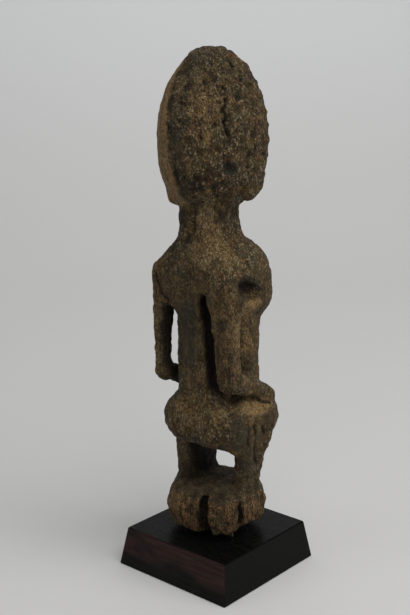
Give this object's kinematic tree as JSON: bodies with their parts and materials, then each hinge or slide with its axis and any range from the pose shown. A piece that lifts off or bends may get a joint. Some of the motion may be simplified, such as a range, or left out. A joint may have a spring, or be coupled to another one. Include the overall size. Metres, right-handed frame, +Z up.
{
  "type": "dogon ancestor figure",
  "caption": "Squatting female ancestor figure carved in crusted dark wood, hands on knees, on a round foot block held by a steel pin above a bevelled square plinth.",
  "frame": {"origin": "middle of the plinth's underside", "axes": "+Z up through the figure, -Y the way the figure faces, -X the figure's right side"},
  "size_m": [0.0798, 0.0798, 0.2922],
  "materials": {
    "crusted_wood": "old hardwood under a dry, crusty dark brown patina, worn to paler tan grain on the foot block",
    "blackened_wood": "blackened hardwood, waxed satin, reddish brown grain showing faintly",
    "steel": "plain drawn steel rod"
  },
  "bodies": {
    "root": {"figure": "crusted_wood", "plinth": "blackened_wood", "mounting_pin": "steel"}
  },
  "joints": []
}
